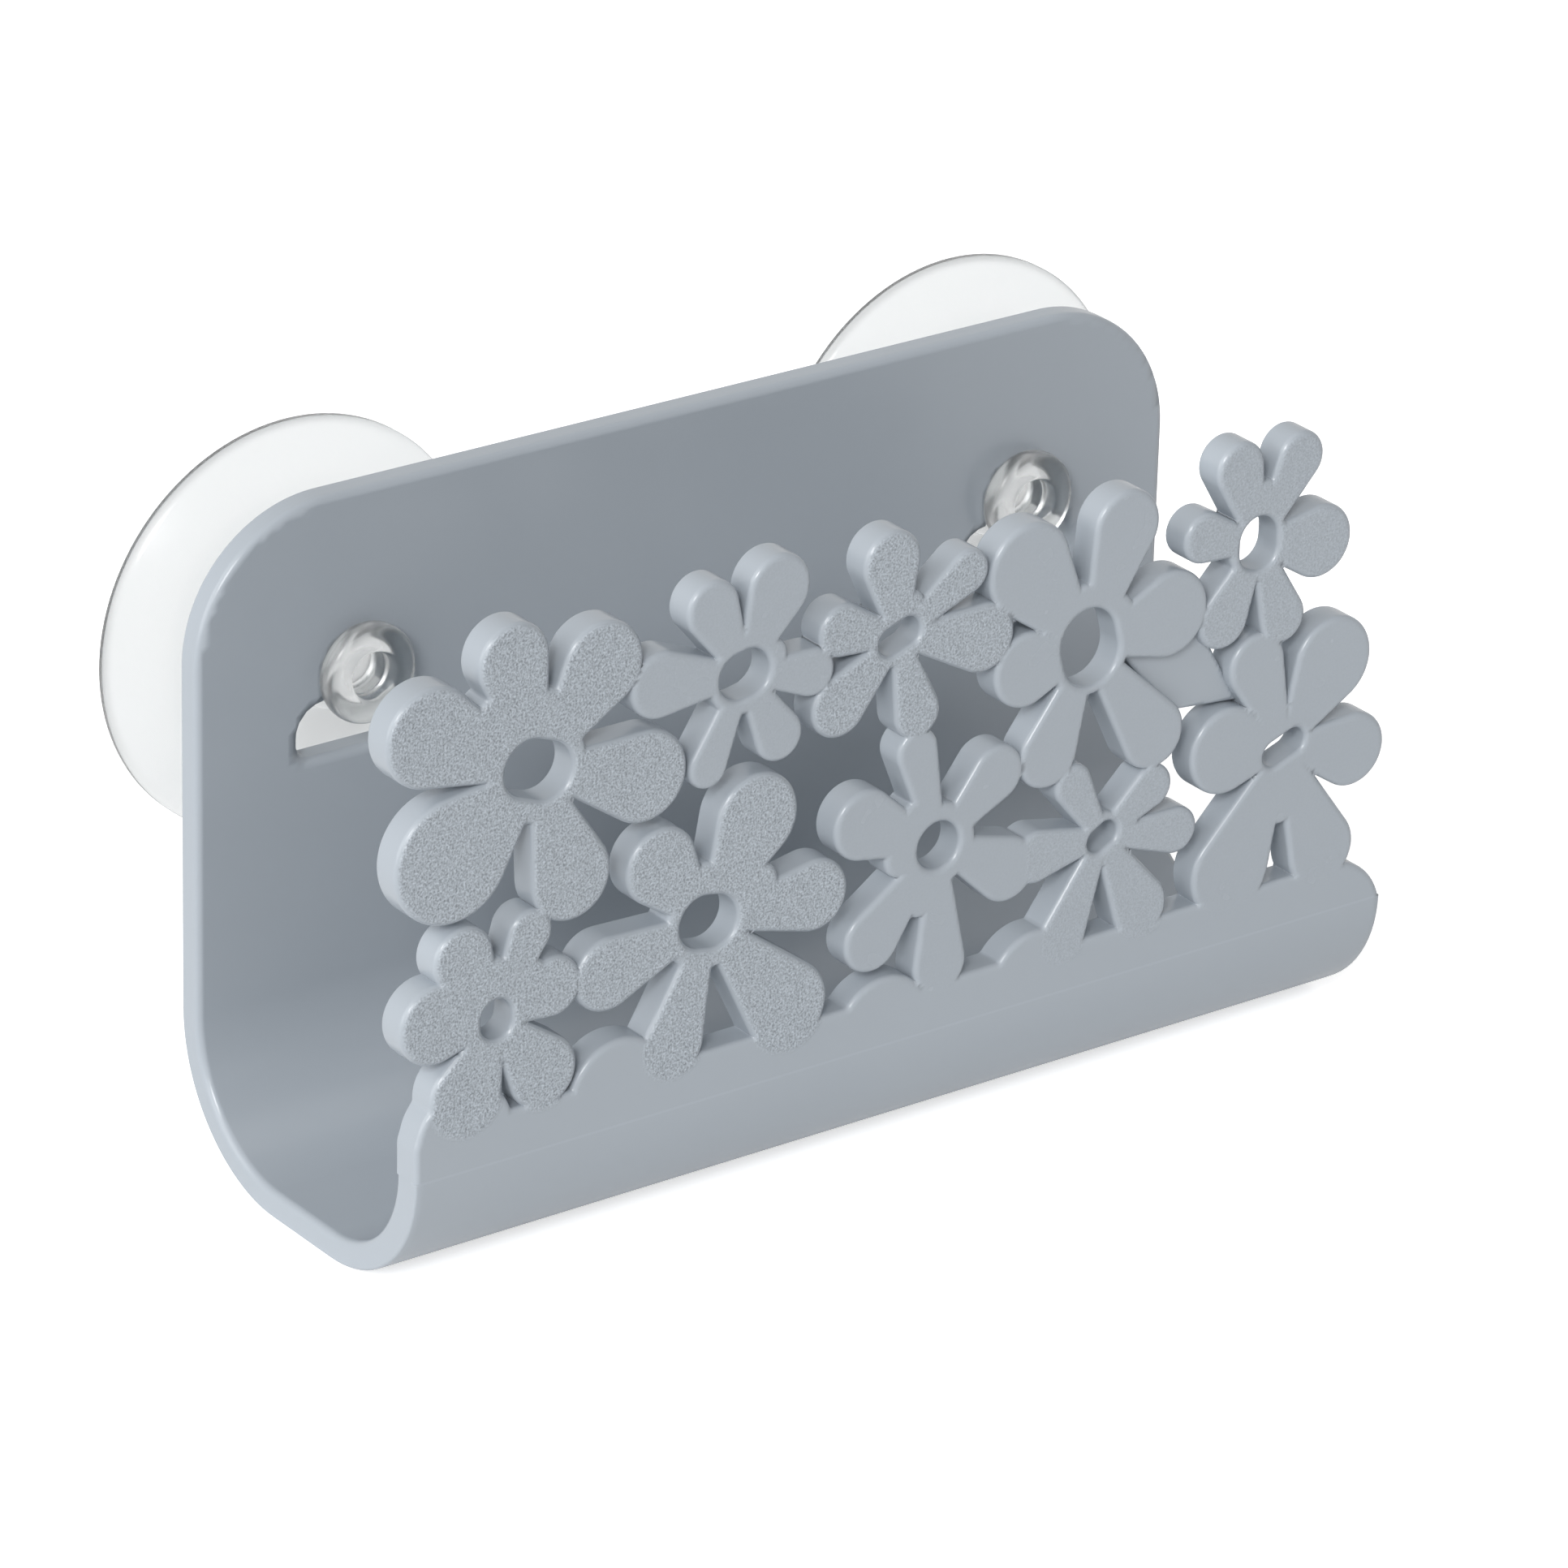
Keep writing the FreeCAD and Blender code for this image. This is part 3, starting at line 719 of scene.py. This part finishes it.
class SPONGE_OT_flower_screen(bpy.types.Operator):
    """Build the lip and the flowers as one open panel with rounded front edges"""

    bl_idname = "sponge.flower_screen"
    bl_label = "Flower screen"

    def execute(self, context):
        screen = context.scene.sponge_screen
        front, lip_z = SCREEN_LOW.y, SCREEN_LOW.z + screen.lip

        def place_at(recess):
            """Flat panel that faces the front."""

            def place(u, v, depth):
                zero = np.zeros_like(u)
                point = np.stack([u, front + recess + depth + zero, lip_z + v], -1)
                return point, np.stack([zero, zero, zero + 1], -1), np.stack([zero, zero - 1, zero], -1)

            return place

        step = SCREEN_STEP
        u_lines = np.arange(SCREEN_LOW.x - 2 * step, SCREEN_HIGH.x + 2 * step, step)
        v_lines = np.arange(-screen.lip, SCREEN_HIGH.z - lip_z + 2 * step, step)
        half = context.scene.sponge_tray.width / 2
        panel = solid_sheet(
            screen_field(half, screen), u_lines, v_lines, place_at(0.0),
            lambda v: np.full_like(v, screen.thickness), screen.rounding, BACK_EDGE, -screen.lip)
        corner = np.array(WEB) * MM
        web_u = np.arange(corner[:, 0].min() - step, corner[:, 0].max() + 2 * step, step)
        web_v = np.arange(corner[:, 1].min() - step, corner[:, 1].max() + 2 * step, step)
        web_thickness = screen.thickness - screen.recess - WEB_GAP
        web = solid_sheet(
            web_field(), web_u, web_v, place_at(screen.recess),
            lambda v: np.full_like(v, web_thickness), BACK_EDGE, BACK_EDGE, 1.0)
        shift = len(panel[0])
        points, normals = np.concatenate([panel[0], web[0]]), np.concatenate([panel[1], web[1]])
        quads, tris = np.concatenate([panel[2], web[2] + shift]), np.concatenate([panel[3], web[3] + shift])
        piece = make_piece("flower_panel", points, quads, tris, normals)
        grain = piece.data.attributes.new("grain", "FLOAT", "POINT")
        weight = grain_weight(points[:, 0], points[:, 2] - lip_z, -normals[:, 1], screen.root)
        grain.data.foreach_set("value", weight.astype(np.float32))
        material = moulded_plastic("grained_grey_plastic", context.scene.sponge_finish, "grain")
        finish_piece(piece, material, "holder", "flower_screen")
        return {"FINISHED"}


class SPONGE_OT_suction_cups(bpy.types.Operator):
    """Turn the two clear suction cups"""

    bl_idname = "sponge.suction_cups"
    bl_label = "Suction cups"

    def execute(self, context):
        cups = context.scene.sponge_cups
        rim, hub, neck, head = cups.diameter / 2, cups.hub / 2, cups.neck / 2, cups.head / 2
        land = rim - RIM_LAND
        ball = (land ** 2 + cups.hollow ** 2) / (2 * cups.hollow)
        turn = np.linspace(0, math.asin(land / ball), 28)
        hollow = np.stack([ball * np.sin(turn), ball * (1 - np.cos(turn)) - cups.hollow], -1)
        t = np.linspace(0, 1, 24)
        crown_r = rim + (hub - rim) * t
        crown_y = -RIM_LAND - (cups.dish - RIM_LAND) * t - DISH_SWELL * t * (1 - t)
        front = CUP_LOW.y
        head_back = front + HEAD_THICKNESS
        pocket_floor = front + POCKET_DEPTH
        hub_face = -cups.dish - HUB_HEIGHT
        upper = soft_profile([
            (hub, -cups.dish, 0.0), (hub, hub_face, 0.6 * MM), (neck, hub_face, 0.3 * MM),
            (neck, head_back, 0.3 * MM), (head, head_back, HEAD_ROUNDING), (head, front, HEAD_ROUNDING),
            (POCKET_RADIUS, front, 0.5 * MM), (POCKET_RADIUS, pocket_floor, 1.0 * MM),
            (0.0, pocket_floor, 0.0)])
        profile = np.concatenate([hollow, [[rim - RIM_CHAMFER, 0.0], [rim, -RIM_CHAMFER]],
                                  np.stack([crown_r, crown_y], -1)[:-1], upper])
        material = clear_vinyl("clear_vinyl", context.scene.sponge_finish)
        for side, x in (("left", -cups.spacing / 2), ("right", cups.spacing / 2)):
            piece = make_piece("cup_" + side, *turned_solid(profile, x, 128))
            finish_piece(piece, material, "cup_" + side, "suction_cup_" + side)
        return {"FINISHED"}


class SPONGE_OT_stage(bpy.types.Operator):
    """Set up the pale floor, the soft light and the camera"""

    bl_idname = "sponge.stage"
    bl_label = "Stage"

    def execute(self, context):
        scene = context.scene
        look = scene.sponge_stage
        scene.view_settings.view_transform = "Standard"
        self.add_floor(look)
        world = bpy.data.worlds.new("even_light")
        world.use_nodes = True
        nodes = world.node_tree.nodes
        nodes["Background"].inputs["Color"].default_value = (1, 1, 1, 1)
        strength = math_node(nodes, "MULTIPLY_ADD", self.seen(nodes), 1.0 - look.sky, look.sky)
        world.node_tree.links.new(strength, nodes["Background"].inputs["Strength"])
        scene.world = world
        self.add_sun("key_light", KEY_FROM, look.key, KEY_SPREAD)
        self.add_sun("fill_light", FILL_FROM, look.fill, FILL_SPREAD)
        self.add_camera(scene)
        return {"FINISHED"}

    def seen(self, nodes):
        """One where the camera sees the surface, directly, mirrored or through the cups."""
        path = nodes.new("ShaderNodeLightPath").outputs
        clear = math_node(nodes, "MAXIMUM", path["Is Glossy Ray"], path["Is Transmission Ray"])
        return math_node(nodes, "MAXIMUM", path["Is Camera Ray"], clear)

    def add_floor(self, look):
        """Flat square under the trough, lifted to white for the camera where it is lit."""
        size, level = 3.0, CAD_BOX[0][2]
        mesh = bpy.data.meshes.new("floor")
        corners = [(-size, -size, level), (size, -size, level), (size, size, level), (-size, size, level)]
        mesh.from_pydata(corners, [], [(0, 1, 2, 3)])
        floor = bpy.data.objects.new("floor", mesh)
        bpy.context.scene.collection.objects.link(floor)
        material, nodes, links, shader, _ = new_material("pale_floor")
        shader.inputs["Base Color"].default_value = (*look.floor, 1.0)
        shader.inputs["Roughness"].default_value = 0.9
        shader.inputs["Specular IOR Level"].default_value = 0.0
        shader.inputs["Emission Color"].default_value = (1, 1, 1, 1)
        camera_ray = nodes.new("ShaderNodeLightPath").outputs["Is Camera Ray"]
        mirrored = math_node(nodes, "MULTIPLY", self.seen(nodes), look.mirror_lift)
        lift = math_node(nodes, "MULTIPLY_ADD", camera_ray, look.camera_lift, mirrored)
        links.new(lift, shader.inputs["Emission Strength"])
        mesh.materials.append(material)

    def add_sun(self, name, towards, strength, spread_degrees):
        """Soft directional light."""
        lamp = bpy.data.lights.new(name, "SUN")
        lamp.energy = strength
        lamp.angle = math.radians(spread_degrees)
        light = bpy.data.objects.new(name, lamp)
        light.rotation_euler = Vector(towards).to_track_quat("Z", "Y").to_euler()
        bpy.context.scene.collection.objects.link(light)

    def add_camera(self, scene):
        """Long lens at the photograph's height, side angle and slight roll."""
        side, rise, roll = math.radians(-36.77), math.radians(24.48), math.radians(1.58)
        aim, distance, focal = Vector((-27.85, -69.82, 2.01)) * MM, 0.92707, 196.75
        back = Vector((math.sin(side) * math.cos(rise), -math.cos(side) * math.cos(rise), math.sin(rise)))
        right = Vector((0, 0, 1)).cross(back).normalized()
        up = back.cross(right)
        turned = right * math.cos(roll) + up * math.sin(roll)
        up = up * math.cos(roll) - right * math.sin(roll)
        lens = bpy.data.cameras.new("camera")
        lens.sensor_width = 36.0
        lens.lens = focal
        lens.clip_end = 20.0
        camera = bpy.data.objects.new("camera", lens)
        turn = Matrix((turned, up, back)).transposed().to_4x4()
        camera.matrix_world = Matrix.Translation(aim + back * distance) @ turn
        scene.collection.objects.link(camera)
        scene.camera = camera


class SPONGE_PT_panel(bpy.types.Panel):
    """Sidebar panel that lists the pieces"""

    bl_idname = "SPONGE_PT_panel"
    bl_label = "Sponge Holder"
    bl_space_type = "VIEW_3D"
    bl_region_type = "UI"
    bl_category = "Sponge Holder"

    def draw(self, context):
        for operator in (SPONGE_OT_tray, SPONGE_OT_flower_screen, SPONGE_OT_suction_cups, SPONGE_OT_stage):
            self.layout.operator(operator.bl_idname)


GROUPS = {"sponge_tray": TraySizes, "sponge_screen": ScreenSizes, "sponge_cups": CupSizes,
          "sponge_finish": Finishes, "sponge_stage": StageLook}
CLASSES = (*GROUPS.values(), SPONGE_OT_tray, SPONGE_OT_flower_screen, SPONGE_OT_suction_cups,
           SPONGE_OT_stage, SPONGE_PT_panel)


def register():
    for item in CLASSES:
        bpy.utils.register_class(item)
    for name, group in GROUPS.items():
        setattr(bpy.types.Scene, name, PointerProperty(type=group))


def unregister():
    for name in GROUPS:
        delattr(bpy.types.Scene, name)
    for item in reversed(CLASSES):
        bpy.utils.unregister_class(item)


def main():
    register()
    bpy.ops.sponge.tray()
    bpy.ops.sponge.flower_screen()
    bpy.ops.sponge.suction_cups()
    bpy.ops.sponge.stage()


if __name__ == "__main__":
    main()
